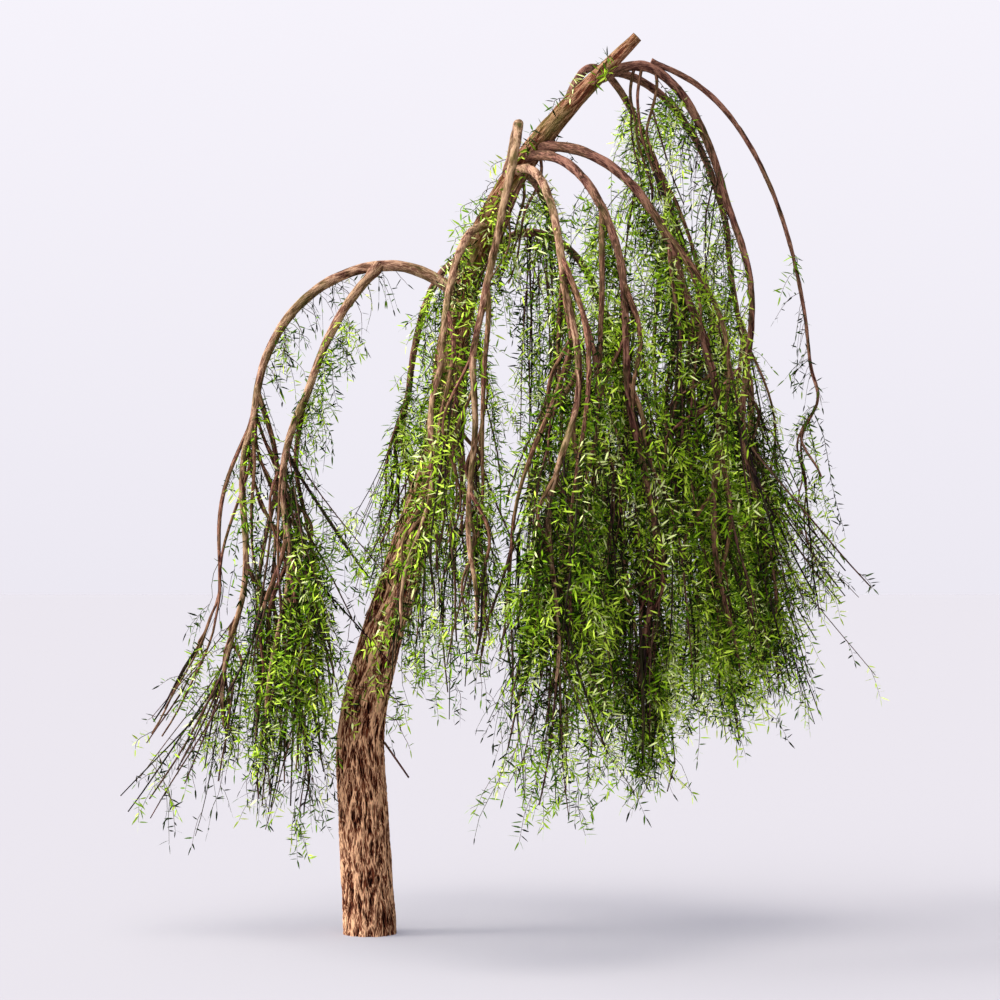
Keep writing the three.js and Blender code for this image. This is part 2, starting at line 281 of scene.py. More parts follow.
trunk_line, trunk_radii = walk(["trunk"], START_RISE * UP)
trunk_line = smooth_line(trunk_line)
print("trunk walked in", len(trunk_line), "steps, to", trunk_line[-1].round(2))

# %% Walk up every bough
def pieces_of(bough):
    """The solids of one bough: one, or a rise and a fall."""
    return [n for n in solids if n in (bough, bough + "_rise", bough + "_fall")]


boughs = {}
for bough in sorted({n.replace("_rise", "").replace("_fall", "") for n in solids if "bough" in n}):
    corners = corners_of(*pieces_of(bough))
    lowest = corners[corners[:, 2] < corners[:, 2].min() + START_RISE].mean(axis=0)
    line, radii = walk(pieces_of(bough), lowest + 0.02 * UP)
    boughs[bough] = (smooth_line(line)[::-1], radii[::-1])
    print(bough, len(line), "steps, leaves at height", round(boughs[bough][0][0][2], 2))

# %% [markdown]
# Willow bark is coarse: long tan ridges run up the trunk, part, and join again, with dark furrows
# between them. The pattern has to follow the limb round its bends, so each bark mesh carries its own
# straightened coordinates, as if the limb had been bent straight before it was measured. One shared
# node group turns those coordinates and the carved depth into a colour, a roughness and a fine relief.

# %% Set up the shared bark pattern
PATTERN_SOCKETS = (
    ("INPUT", "Vector", ("Along Grain",)),
    ("INPUT", "Float", ("Depth",)),
    ("INPUT", "Color", ("Crest", "Flank", "Furrow", "Moss")),
    ("INPUT", "Float", ("Moss Amount", "Moss From", "Strand Share", "Braid", "Young Share")),
    ("OUTPUT", "Color", ("Colour",)),
    ("OUTPUT", "Float", ("Roughness", "Height")),
)
MOSS_TONE = (0.12, 0.14, 0.03, 1)
UNCARVED_DEPTH = 0.5

bark_pattern = bpy.data.node_groups.new("willow_bark_pattern", "ShaderNodeTree")
sockets = {}
for way, kind, titles in PATTERN_SOCKETS:
    for title in titles:
        sockets[title] = bark_pattern.interface.new_socket(
            name=title, in_out=way, socket_type="NodeSocket" + kind
        )
sockets["Moss"].default_value = MOSS_TONE
sockets["Depth"].default_value = UNCARVED_DEPTH
given = bark_pattern.nodes.new("NodeGroupInput").outputs
grain_height = add_node(bark_pattern, "SeparateXYZ", {"Vector": given["Along Grain"]}).outputs["Z"]


def stretched_noise(scale, stretch, detail, grain=given["Along Grain"]):
    """Noise that is drawn out along the limb by a factor."""
    grain = add_node(bark_pattern, "Mapping", {"Vector": grain, "Scale": (1, 1, 1 / stretch)})
    inputs = {"Vector": grain.outputs["Vector"], "Scale": scale, "Detail": detail, "Roughness": 0.6}
    return add_node(bark_pattern, "TexNoise", inputs).outputs["Fac"]


def strands(scale, way):
    """Long crests that wind round the limb one way: 1 along a crest, falling to 0 beside it."""
    slant = sums("MULTIPLY", grain_height, sums("MULTIPLY", given["Braid"], way))
    inputs = {"Vector": given["Along Grain"], "Angle": slant}
    turned = add_node(bark_pattern, "VectorRotate", inputs, rotation_type="Z_AXIS").outputs["Vector"]
    away = sums("SUBTRACT", stretched_noise(scale, 7.5, 1.5, turned), 0.5)
    return ranged(sums("ABSOLUTE", away, 0.0), 0.0, 0.050, 1.0, 0.0)


# %% Work out the bark's colour and relief
# Where the bark is carved deepest it takes the furrow's tone, then the flank's, then the crest's.
both_ways = sums("MAXIMUM", strands(46.0, 1.0), strands(52.0, -1.0))
stranded = sums("MULTIPLY", sums("SUBTRACT", both_ways, 0.38), given["Strand Share"])
fibres = ranged(stretched_noise(110.0, 6.0, 3.0), 0.3, 0.7, -0.2, 0.2)
carved = sums("ADD", sums("ADD", given["Depth"], fibres), stranded)
# The near-black furrow tone is the furrows' darker bark, and painted shade in the furrows as well.
tone = mixed_colour(ranged(carved, 0.06, 0.36), given["Furrow"], given["Flank"])
tone = mixed_colour(ranged(carved, 0.52, 0.92), tone, given["Crest"])
young = sums("MULTIPLY", ranged(grain_height, 2.6, 4.8), given["Young Share"])
tone = mixed_colour(young, tone, given["Flank"])
patches = ranged(stretched_noise(7.0, 2.5, 3.0), 0.42, 0.66)
moss = sums("MULTIPLY", patches, given["Moss Amount"])
above = sums("SUBTRACT", grain_height, given["Moss From"])
moss = sums("MULTIPLY", moss, ranged(above, 0.0, 1.2))
grit = ranged(stretched_noise(420.0, 2.0, 2.0), 0.3, 0.7, -0.12, 0.12)
results = {
    "Colour": mixed_colour(moss, tone, given["Moss"]),
    "Roughness": ranged(carved, 0.0, 1.0, 0.95, 0.62),
    "Height": sums("ADD", carved, grit),
}
fill(bark_pattern.nodes.new("NodeGroupOutput"), results)
print("bark pattern has", len(bark_pattern.nodes), "nodes")

# %% Make the bark finishes
# Each bark: its values for these inputs of the pattern, and the depth of its fine relief.
BARK_INPUTS = (
    "Crest", "Flank", "Furrow", "Moss Amount", "Moss From", "Strand Share", "Braid", "Young Share"
)
# The third tone of each bark is its furrows' colour, with painted shade in it.
BARKS = {
    "trunk_bark": (
        (0.81, 0.46, 0.26, 1), (0.132, 0.035, 0.016, 1), (0.007, 0.001, 0.0005, 1),
        0.55, 2.6, 0.70, 0.8, 0.62, 0.007,
    ),
    "bough_bark": (
        (0.46, 0.27, 0.17, 1), (0.150, 0.066, 0.042, 1), (0.028, 0.008, 0.006, 1),
        0.45, -1.0, 0.55, 4.0, 0.0, 0.003,
    ),
    # A darker copy of the bough bark, as painted shade, for the boughs at the back.
    "shaded_bark": (
        (0.27, 0.125, 0.085, 1), (0.085, 0.032, 0.024, 1), (0.018, 0.005, 0.005, 1),
        0.25, -1.0, 0.60, 4.0, 0.0, 0.003,
    ),
    "limb_bark": (
        (0.29, 0.135, 0.085, 1), (0.115, 0.044, 0.030, 1), (0.035, 0.010, 0.009, 1),
        0.3, -1.0, 0.9, 0.0, 0.0, 0.001,
    ),
    "stick_dark": (
        (0.036, 0.018, 0.018, 1), (0.014, 0.007, 0.009, 1), (0.005, 0.003, 0.003, 1),
        0.2, -1.0, 0.9, 0.0, 0.0, 0.0005,
    ),
    "stick_brown": (
        (0.135, 0.060, 0.048, 1), (0.072, 0.030, 0.025, 1), (0.020, 0.008, 0.008, 1),
        0.2, -1.0, 0.9, 0.0, 0.0, 0.0005,
    ),
}


def bark_finish(title):
    """A bark material: the shared pattern with its own values."""
    finish, shader = new_finish("willow_" + title)
    tree = finish.node_tree
    *values, relief = BARKS[title]
    inputs = dict(zip(BARK_INPUTS, values))
    inputs["Along Grain"] = add_node(tree, "Attribute", {}, attribute_name="grain").outputs["Vector"]
    if inputs["Braid"]:
        depth = add_node(tree, "Attribute", {}, attribute_name="carved_depth")
        inputs["Depth"] = depth.outputs["Fac"]
    pattern = add_node(tree, "Group", inputs, node_tree=bark_pattern).outputs
    bump = add_node(tree, "Bump", {"Strength": 0.8, "Distance": relief, "Height": pattern["Height"]})
    looks = {"Base Color": pattern["Colour"], "Roughness": pattern["Roughness"]}
    fill(shader, {**looks, "Normal": bump.outputs["Normal"], "Specular IOR Level": 0.05})
    return finish


trunk_finish, bough_finish, painted_shade_finish, limb_finish, *stick_finishes = map(bark_finish, BARKS)
print("finishes:", *["willow_" + title for title in BARKS])

# %% [markdown]
# The trunk and boughs are made as a sheet of bark is: a flat grid is rolled round the limb's middle
# line, its two long edges are welded, and the ends are closed with a sawn face. A rolled grid gives
# even faces that follow the grain, and the carving can be worked out on the flat sheet first.

# %% Draw a frame along a line
def along_line(line):
    """Unit vectors along a line and two square to it, carried on without twisting."""
    tangents = unit(np.gradient(line, axis=0))
    sides = np.zeros_like(line)
    first = np.cross(tangents[0], [0.0, 1.0, 0.0])
    sides[0] = unit(first if np.linalg.norm(first) > 0.1 else np.cross(tangents[0], [1.0, 0, 0]))
    for i in range(1, len(line)):
        sides[i] = unit(sides[i - 1] - tangents[i] * np.dot(sides[i - 1], tangents[i]))
    return tangents, sides, np.cross(tangents, sides)


def lengths_along(line):
    """The distance along a line to each of its points."""
    return np.concatenate([[0], np.cumsum(np.linalg.norm(np.diff(line, axis=0), axis=1))])


def places_at(line, marks):
    """The places at some distances along a line."""
    lengths = lengths_along(line)
    return np.stack([np.interp(marks, lengths, line[:, k]) for k in range(3)], axis=1)


# %% Carve the bark's ridges
FLAT_BARK = 0.34


def ridge_lines(x, y, z, wide, long):
    """Long crests that part and join: 1 on a crest, 0 between two."""
    return max(0.0, 1.0 - abs(noise.noise(Vector((x / wide, y / wide, z / long)))) * 3.6)


def ridges(grain, wide, long, braid):
    """How high the bark stands at each straightened point, from 0 in a furrow to 1 on a crest."""
    heights = np.zeros(len(grain))
    for i, (x, y, z) in enumerate(grain):
        sway = noise.noise(Vector((x * 5 + 9, y * 5, z * 6))) * wide * 0.6
        cos, sin = math.cos(braid * z), math.sin(braid * z)
        left = ridge_lines(x * cos - y * sin + sway, x * sin + y * cos, z, wide, long)
        right = ridge_lines(x * cos + y * sin + 7, y * cos - x * sin + sway, z, wide, long)
        split = ridge_lines(x + 3.1, y + sway, z + 1.7, wide * 0.55, long * 0.28)
        broad = 0.5 + noise.noise(Vector((x * 12, y * 12, z * 5)))
        crest = max(left, right) * (0.7 + 0.5 * broad)
        heights[i] = FLAT_BARK + (1 - FLAT_BARK) * crest - FLAT_BARK * split * (1 - crest)
    return np.clip(heights, 0, 1)


# %% Roll a sheet of bark round a limb
SEAM_GAP = 0.00002
EDGE_DEG = 50


def roll_bark(name, line, radii, finish, around, spacing, plate, depth, braid):
    """A closed limb with carved bark, from its middle line and radii."""
    lengths = lengths_along(line)
    rings = max(3, int(round(lengths[-1] / spacing)) + 1)
    marks = np.linspace(0, lengths[-1], rings)
    radii = np.interp(marks, lengths, radii)
    line = smooth_line(places_at(line, marks), 3)
    _, sides, overs = along_line(line)
    bpy.ops.object.select_all(action="DESELECT")
    bpy.ops.mesh.primitive_grid_add(x_subdivisions=around, y_subdivisions=rings - 1, size=1)
    limb = bpy.context.object
    limb.name = name
    flat = np.array([v.co for v in limb.data.vertices])
    turn = (flat[:, 0] + 0.5) * math.tau
    ring = np.rint((flat[:, 1] + 0.5) * (rings - 1)).astype(int)
    grain = np.stack([np.cos(turn) * radii[ring], np.sin(turn) * radii[ring], marks[ring]], axis=1)
    carved = ridges(grain, *plate, braid)
    thinning = (radii / radii.max()) ** 0.7
    reach = radii[ring] + depth * thinning[ring] * (carved - 0.5)
    places = (
        line[ring]
        + (reach * np.cos(turn))[:, None] * sides[ring]
        + (reach * np.sin(turn))[:, None] * overs[ring]
    )
    places[:, 2] = np.maximum(places[:, 2], 0.0)
    limb.data.vertices.foreach_set("co", places.ravel())
    attribute = limb.data.attributes.new("grain", "FLOAT_VECTOR", "POINT")
    attribute.data.foreach_set("vector", grain.ravel())
    attribute = limb.data.attributes.new("carved_depth", "FLOAT", "POINT")
    attribute.data.foreach_set("value", carved)
    bpy.ops.object.mode_set(mode="EDIT")
    bpy.ops.mesh.select_all(action="SELECT")
    bpy.ops.mesh.remove_doubles(threshold=SEAM_GAP)
    bpy.ops.mesh.select_all(action="DESELECT")
    bpy.ops.mesh.select_non_manifold(extend=False)
    bpy.ops.mesh.fill_holes(sides=0)
    bpy.ops.mesh.select_all(action="SELECT")
    bpy.ops.mesh.normals_make_consistent(inside=False)
    bpy.ops.object.mode_set(mode="OBJECT")
    bpy.ops.object.shade_smooth_by_angle(angle=math.radians(EDGE_DEG))
    limb.data.materials.append(finish)
    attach(limb, "root")
    return limb


def triangles_in(*pieces):
    """The number of triangles that some pieces hold."""
    return sum(len(p.vertices) - 2 for piece in pieces for p in piece.data.polygons)


# %% Make the trunk
# A grid of bark: faces around, metres between rings, the width and length of a plate of bark, how
# deep it is carved, and how fast its ridges wind round the limb.
TRUNK_GRID = (132, 0.0165, (0.042, 0.24), 0.018, 0.65)

foot_line = np.vstack([trunk_line[0] * [1, 1, 0], trunk_line])
foot_radii = np.concatenate([[trunk_radii[0]], trunk_radii])
trunk_piece = roll_bark("willow_trunk", foot_line, foot_radii, trunk_finish, *TRUNK_GRID)
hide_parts("trunk")
print("trunk radii at foot and tip", foot_radii[[0, -1]].round(3))
print("trunk of", triangles_in(trunk_piece), "triangles")

# %% [markdown]
# Each mass of foliage in the frame is a long bell of its own shape. Twigs that fill it have to know
# where its middle and its skirt are, so the bell is measured first: level by level, rays are cast
# inwards from all round, and the first hit is the outside. A place inside a bell can then be told by
# a height, a direction and a share of the way out, and a twig that keeps its share hangs as the bell
# does.

# %% Measure the bells of foliage
BELL_LEVELS = 26
BELL_TURNS = 20


class Bell:
    """The outside of one mass of foliage, by height and direction."""

    def __init__(self, name):
        tree = ray_tree([name])
        corners = corners_of(name)
        self.foot = corners[:, 2].min()
        self.top = corners[:, 2].max()
        self.heights = np.linspace(self.foot + 0.02, self.top - 0.02, BELL_LEVELS)
        self.middles = np.zeros((BELL_LEVELS, 2))
        self.reaches = np.zeros((BELL_LEVELS, BELL_TURNS))
        self.hems = np.full(BELL_TURNS, self.top)
        edges = np.array([e.vertices for e in solids[name].data.edges])
        low, high = corners[edges[:, 0]], corners[edges[:, 1]]
        for k, height in enumerate(self.heights):
            crossing = (low[:, 2] - height) * (high[:, 2] - height) < 0
            a, b = low[crossing], high[crossing]
            share = (height - a[:, 2]) / (b[:, 2] - a[:, 2])
            ring = a[:, :2] + share[:, None] * (b[:, :2] - a[:, :2])
            self.middles[k] = (ring.min(axis=0) + ring.max(axis=0)) / 2
            self.cast_round(tree, k, height)
        self.reaches[0] = np.where(self.reaches[0] > 0, self.reaches[0], self.reaches[1])

    def cast_round(self, tree, k, height):
        """Fills one level's reaches from rays cast inwards."""
        middle = np.array([*self.middles[k], height])
        for j, turn in enumerate(np.linspace(0, math.tau, BELL_TURNS, endpoint=False)):
            out = level_way(turn)
            place, _, _, _ = tree.ray_cast(Vector(middle + 3 * out), Vector(-out), 3.0)
            if place is not None:
                self.reaches[k, j] = np.dot(np.array(place) - middle, out)
                self.hems[j] = min(self.hems[j], height)

    def middle(self, height):
        """The middle of the bell at some heights."""
        ways = [np.interp(height, self.heights, self.middles[:, axis]) for axis in (0, 1)]
        return np.stack(ways, axis=-1)

    def step(self, turn):
        """How many rays round the bell a direction lies."""
        return np.mod(turn, math.tau) / math.tau * BELL_TURNS

    def reach(self, height, turn):
        """How far the bell goes out at a height and direction, blended from the four nearest rays."""
        level = np.interp(height, self.heights, np.arange(BELL_LEVELS))
        step = self.step(turn)
        k = np.clip(np.floor(level).astype(int), 0, BELL_LEVELS - 2)
        j = np.floor(step).astype(int) % BELL_TURNS
        after = (j + 1) % BELL_TURNS
        up, on = level - k, step - np.floor(step)
        nearer = self.reaches[k, j] * (1 - up) + self.reaches[k + 1, j] * up
        further = self.reaches[k, after] * (1 - up) + self.reaches[k + 1, after] * up
        return nearer * (1 - on) + further * on

    def hem(self, turn):
        """The lowest height of the bell in a direction."""
        return self.hems[int(self.step(turn)) % BELL_TURNS]

    def spot(self, height, turn, share):
        """The points at some heights, in a direction, at a share of the way out."""
        out = self.reach(height, turn) * share
        centre = self.middle(height)
        ways = [centre[..., 0] + out * np.cos(turn), centre[..., 1] + out * np.sin(turn), height]
        return np.stack(ways, axis=-1)

    def told(self, place):
        """The direction and share of the way out of a place."""
        away = place[:2] - self.middle(place[2])
        turn = math.atan2(away[1], away[0])
        return turn, np.linalg.norm(away) / max(float(self.reach(place[2], turn)), 0.05)


# Each mass: the limb that it hangs from, strings per cubic metre, its share of the usual number of
# limbs, how far out these spread, sticks per limb, how ragged its skirt is in metres, how far its
# sticks flare, and how far its strings trail below the skirt.
GROWTH = {
    "left_outer_curtain": ("left_bough", 270, 1.0, 0.90, 2.5, 0.70, 0.15, 0.06),
    "left_inner_curtain": ("left_inner_bough", 260, 1.0, 1.0, 3.0, 0.95, 0.35, 0.00),
    "left_fan_spray": ("left_bough", 34, 0.3, 1.00, 1.0, 0.45, 0.15, 0.00),
    "left_back_curtain": ("left_bough", 150, 1.0, 1.0, 2.0, 0.95, 0.35, 0.00),
    "right_front_curtain": ("right_front_bough", 460, 1.0, 0.90, 5.0, 0.60, 0.30, 0.04),
    "front_right_curtain": ("front_right_bough", 500, 1.0, 1.00, 5.0, 0.45, 0.35, 0.22),
    "front_curtain": ("front_bough", 520, 1.0, 1.00, 4.0, 0.35, 0.40, 0.36),
    "front_loop_curtain": ("front_loop_bough", 150, 0.9, 1.00, 2.0, 0.80, 0.35, 0.05),
    "trunk_side_curtain": ("front_left_bough", 150, 0.8, 1.00, 2.0, 0.90, 0.30, 0.12),
    "right_curtain": ("right_top_bough", 280, 0.8, 0.50, 4.0, 0.70, 0.60, 0.00),
    "right_outer_curtain": ("right_outer_bough", 10, 0.35, 0.20, 1.0, 0.50, 0.60, 0.00),
    "right_back_curtain": ("right_back_bough", 230, 0.8, 0.50, 4.0, 0.70, 0.60, 0.00),
    "back_right_curtain": ("back_loop_bough", 340, 1.0, 0.95, 5.0, 0.60, 0.35, 0.03),
    "back_arch_curtain": ("back_arch_bough", 330, 1.0, 1.0, 5.0, 0.50, 0.35, 0.12),
    "back_curtain": ("back_high_bough", 350, 1.0, 1.0, 5.0, 0.50, 0.35, 0.10),
    "back_middle_curtain": ("back_middle_bough", 190, 1.0, 1.00, 2.0, 0.80, 0.35, 0.12),
    "back_left_curtain": ("back_left_bough", 140, 0.9, 1.00, 2.0, 0.90, 0.35, 0.10),
    "upper_spray": ("right_top_bough", 60, 0.3, 1.0, 1.5, 0.40, 0.20, 0.00),
    "upper_trunk_spray": ("trunk", 100, 0.6, 1.0, 1.5, 0.90, 0.20, 0.00),
    "trunk_spray": ("trunk", 170, 0.8, 1.0, 1.5, 0.80, 0.20, 0.05),
}
# Two masses hang a little to one side of their solids: how far each is shifted along x.
SHIFTED = {"upper_spray": 0.10, "right_outer_curtain": -0.15}
bells = {name: Bell(name) for name in GROWTH}
for name, shift in SHIFTED.items():
    bells[name].middles[:, 0] += shift
print(len(bells), "bells, the widest", round(max(b.reaches.max() for b in bells.values()), 2))

# %% [markdown]
# The branching rule has four steps. A bough goes on down inside its bell as a leader. Limbs leave the
# leader and spread towards the skirt. Sticks and strings leave the limbs: a stick is a stiff dark
# shoot with few leaves, and a string is the fine hanging shoot that carries nearly all of the leaves.
# Short sprays leave all three and nod outwards. Each step draws its places from one seeded generator,
# so the tree grows the same way every time. A few limbs keep their bark in sight: the shoots that
# would hide them are left out.

# %% Shape a limb
def random_turn():
    """Any direction round the Z axis."""
    return rng.uniform(0, math.tau)


def eased(share):
    """A slow start and a slow end between 0 and 1."""
    share = np.clip(share, 0, 1)
    return share * share * (3 - 2 * share)


def wander(count, size, period):
    """A slow sideways drift for the points of a twig."""
    steps = np.linspace(0, 1, count)[:, None]
    phase = rng.uniform(0, math.tau, (1, 3))
    return (np.sin(steps * period + phase) - np.sin(phase)) * np.array([size, size, 0.2 * size])


def inside(bell, start, heading, turn, share, end, count, settle):
    """A limb from a start, along a heading, that eases into the bell's own flow."""
    steps = np.linspace(0, 1, count)
    heights = start[2] + (end - start[2]) * steps
    flow = bell.spot(heights, turn, share * (0.35 + 0.65 * steps))
    straight = start + heading * (steps * abs(end - start[2]))[:, None]
    straight[:, 2] = heights
    ease = eased(steps / settle)[:, None]
    line = straight * (1 - ease) + flow * ease
    line[0] = start
    return line


def tapered(thick, thin, count, power=0.8):
    """Radii that shrink along a limb."""
    return thin + (thick - thin) * (1 - np.linspace(0, 1, count)) ** power


# %% Carry each bough on as a leader
LEADER_END = 0.006
LEADER_POINTS = 40
SIDE_LEADER_THICK = 0.013
FRONT_PULL = 1.6
SIDE_PULL = 0.6
TRUNK_LEADERS = 4
SIDE_LEADERS = 3
SIDE_LEADER_POINTS = 26
SIDE_MASSES = ("left_fan_spray", "left_back_curtain", "upper_spray")

limbs = {name: [] for name in bells}
bare_limbs = {name: [] for name in bells}
leaders = {}
carried_on = {}
crown_middle = trunk_line[60][:2]


def bough_leader(name, parent):
    """Carries a bough on inside its bell, and gives the part of it that limbs can leave."""
    bell = bells[name]
    depth = bell.top - bell.foot
    line, radii = boughs[parent]
    outward = bell.middle(bell.foot + depth * 0.5) - crown_middle
    face = math.atan2(outward[1] - FRONT_PULL, outward[0] * SIDE_PULL) + rng.uniform(-0.4, 0.4)
    limb_share, spread = GROWTH[name][2:4]
    end = bell.foot + depth * (rng.uniform(0.16, 0.3) if limb_share > 0.5 else 0.6)
    share = rng.uniform(0.80, 1.0) if spread > 0.8 else 0.35
    heading = unit(line[-1] - line[-3])
    more = inside(bell, line[-1], heading, face, share, end, LEADER_POINTS, 0.6)
    more += wander(LEADER_POINTS, 0.045, 9.0)
    more[0] = line[-1]
    bare_limbs[name].append(more)
    size = tapered(radii[-2], LEADER_END, LEADER_POINTS, 0.45)
    whole = np.vstack([line, more[1:]])
    girth = np.concatenate([radii, size[1:]])
    carried_on[parent] = (whole, girth)
    from_here = int(len(line) * 0.6)
    return [(whole[from_here:], girth[from_here:])]


def side_leaders(name, line, count):
    """Gives a mass leaders of its own, which leave a limb that it has no end of."""
    bell = bells[name]
    depth = bell.top - bell.foot
    grown = []
    for _ in range(count):
        aim = bell.spot(bell.top - depth * rng.uniform(0.02, 0.25), rng.uniform(0, 6.28), 0.2)
        near = line[np.argmin(np.linalg.norm(line - aim - [0, 0, 0.12], axis=1))]
        end = bell.foot + depth * rng.uniform(0.15, 0.4)
        turn = random_turn()
        heading = unit(level_way(turn) * 0.4 - UP)
        share = rng.uniform(0.2, 0.6)
        more = inside(bell, near, heading, turn, share, end, SIDE_LEADER_POINTS, 0.5)
        grown.append((more, tapered(SIDE_LEADER_THICK, LEADER_END, SIDE_LEADER_POINTS)))
    limbs[name] += grown
    return grown


for name, (parent, *_) in GROWTH.items():
    if parent == "trunk":
        leaders[name] = side_leaders(name, trunk_line, TRUNK_LEADERS)
    elif name in SIDE_MASSES:
        leaders[name] = side_leaders(name, boughs[parent][0], SIDE_LEADERS)
    else:
        leaders[name] = bough_leader(name, parent)
print(len(leaders), "bells have leaders,", len(carried_on), "of them from boughs")

# %% Roll the boughs
BOUGH_GRID = (16, 0.028, (0.060, 0.30), 0.007, 4.0)
JOINT_DEPTH = 0.07
COLLAR_SWELL = (1.35, 1.25)
SUNNY_BOUGHS = [side + "_bough" for side in ("left", "left_inner", "front_left", "front_loop", "front")]
bough_pieces = []
for bough, (line, radii) in carried_on.items():
    heading = unit(line[2] - line[0])
    line = np.vstack([line[0] - heading * JOINT_DEPTH, line])
    radii = np.concatenate([radii[2] * np.array(COLLAR_SWELL), radii[1:]])
    # Boughs other than these take the darker copy of the bark, as painted shade.
    finish = bough_finish if bough in SUNNY_BOUGHS else painted_shade_finish
    piece = roll_bark(bough, line, radii, finish, *BOUGH_GRID)
    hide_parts(*pieces_of(bough))
    bough_pieces.append(piece)
print(len(bough_pieces), "boughs,", triangles_in(*bough_pieces), "triangles")

# %% Grow limbs inside the bells
LIMBS_PER_METRE = 3.4
LIMB_POINTS = 22
LIMB_END = 0.0045
LIMB_THICK = (0.010, 0.022)
LEAST_FALL = 0.3
GOLDEN_TURN = 2.39996
BARE_LIMBS = 3
BARE_GIRTH = 0.30
LEAFY_SIDES = ("right_curtain", "right_back_curtain", "right_outer_curtain")
LEAFY_SIDES_FROM = 0.34
OUTER_SHARE = 0.58
# The leader is the first of a bell's bare limbs, so on the leafy sides it stays the only one.


def start_on(lines, low=0.0, high=1.0):
    """A place on one of several limbs, with its heading and radius there."""
    line, radii = lines[int(rng.integers(len(lines)))]
    at = rng.uniform(low, high) * (len(line) - 1.01)
    k = int(at)
    place = line[k] + (line[k + 1] - line[k]) * (at - k)
    return place, unit(line[k + 1] - line[k]), radii[k]


outer_limbs = {name: [] for name in bells}
for name, bell in bells.items():
    depth = bell.top - bell.foot
    girth = bell.reaches.max()
    limb_share, spread = GROWTH[name][2:4]
    first, most_bare = (LEAFY_SIDES_FROM, 1) if name in LEAFY_SIDES else (0.0, BARE_LIMBS)
    for k in range(int(LIMBS_PER_METRE * depth * (0.5 + girth * 1.6) * limb_share)):
        place, heading, radius = start_on(leaders[name], first + rng.uniform(0.0, 0.2), 0.85)
        turn = k * GOLDEN_TURN + rng.uniform(-0.4, 0.4)
        end = bell.hem(turn) + depth * rng.uniform(0.08, 0.55)
        if place[2] - end < LEAST_FALL:
            continue
        out = unit(level_way(turn) * 0.45 + heading)
        share = rng.uniform(0.2, 0.55) if k % 3 == 0 else rng.uniform(0.6, 0.95)
        thick = rng.uniform(*LIMB_THICK)
        bare = k % 3 == 1 and girth > BARE_GIRTH and 0 < len(bare_limbs[name]) < most_bare
        if bare:
            share, thick = 1.0, LIMB_THICK[1]
        share *= spread
        line = inside(bell, place, out, turn, share, end, LIMB_POINTS, rng.uniform(0.4, 0.8))
        line += wander(LIMB_POINTS, 0.035, 9.0)
        line[0] = place
        grown = (line, tapered(min(thick, radius * 0.85), LIMB_END, LIMB_POINTS))
        limbs[name].append(grown)
        if bare:
            bare_limbs[name].append(line)
        elif share > OUTER_SHARE * spread:
            outer_limbs[name].append(grown)
print(sum(map(len, limbs.values())), "limbs inside the bells")

# %% Shape a shoot
STRING_POINTS = 6
STICK_POINTS = 5
SPRAY_POINTS = 4
ROOM_PAST_RIGHT = 0.06
room_low, room_high = cad_low[:2], (cad_high.x + ROOM_PAST_RIGHT, cad_high.y)


def shoot_line(start, turn, out, down):
    """A shoot's points, from how far out and how far down each one lies from its start."""
    return start + np.stack([out * math.cos(turn), out * math.sin(turn), -down], axis=1)


def turn_towards(away, spread):
    """A direction near a given way, or any direction where there is none."""
    turn = random_turn()
    if away is None:
        return turn
    return math.atan2(away[1], away[0]) + rng.normal(0, spread)


def hung(bell, start, drop, flare, pull, count):
    """A shoot that hangs from a start, part straight down and part with the bell's flow."""
    turn, share = bell.told(start)
    steps = np.linspace(0, 1, count)
    straight = shoot_line(start, 0.0, 0 * steps, drop * steps)
    flow = bell.spot(straight[:, 2], turn, np.minimum(min(share, 1.0) + flare * steps, 1.2))
    flow += start - flow[0]
    return straight * (1 - pull) + flow * pull


def dropped(start, drop, flare, away=None, count=STRING_POINTS):
    """A shoot that leaves its limb to one side and then hangs straight."""
    turn = turn_towards(away, 0.9)
    steps = np.linspace(0, 1, count)
    return shoot_line(start, turn, flare * (1 - np.exp(-3 * steps)), drop * steps)


def sprung(line, size):
    """The same shoot, leaving its limb to one side before it hangs."""
    steps = np.linspace(0, 1, len(line))
    return shoot_line(line, random_turn(), size * (1 - np.exp(-4 * steps)), 0 * steps)


def leaning(line, lean):
    """The same shoot, leaning a little to one side."""
    way = rng.normal(0, lean, 3) * [1, 1, 0]
    steps = np.linspace(0, 1, len(line))[:, None]
    return line + way * steps * np.linalg.norm(line[-1] - line[0])


def kept_in(line):
    """The same shoot, drawn in where it would leave the frame's own box."""
    for axis in (0, 1):
        away = line[:, axis] - line[0, axis]
        before = max(line[0, axis] - room_low[axis], 0.02)
        beyond = max(room_high[axis] - line[0, axis], 0.02)
        most = max((-away / before).max(), (away / beyond).max())
        if most > 1:
            line[:, axis] = line[0, axis] + away / most
    return line


# %% Keep a shoot
CLEAR_STRIP = 0.055
CLEAR_HEIGHT = 0.15
CLEAR_BEHIND = 0.02
STRING_ENDS = (0.0032, 0.0016)
SPRAY_ENDS = (0.0024, 0.0012)
sticks = {name: [] for name in bells}
strings = {name: [] for name in bells}


def hides_limb(name, place):
    """Whether a shoot here would hang right in front of one of the bell's bare limbs."""
    middle = bells[name].middle(place[2])
    for line in bare_limbs[name]:
        on = line[np.argmin(np.abs(line[:, 2] - place[2]))]
        out = unit(on[:2] - middle + 1e-6)
        away = place[:2] - on[:2]
        across = abs(away[0] * out[1] - away[1] * out[0])
        in_front = abs(on[2] - place[2]) < CLEAR_HEIGHT and away @ out > -CLEAR_BEHIND
        if in_front and across < CLEAR_STRIP:
            return True
    return False


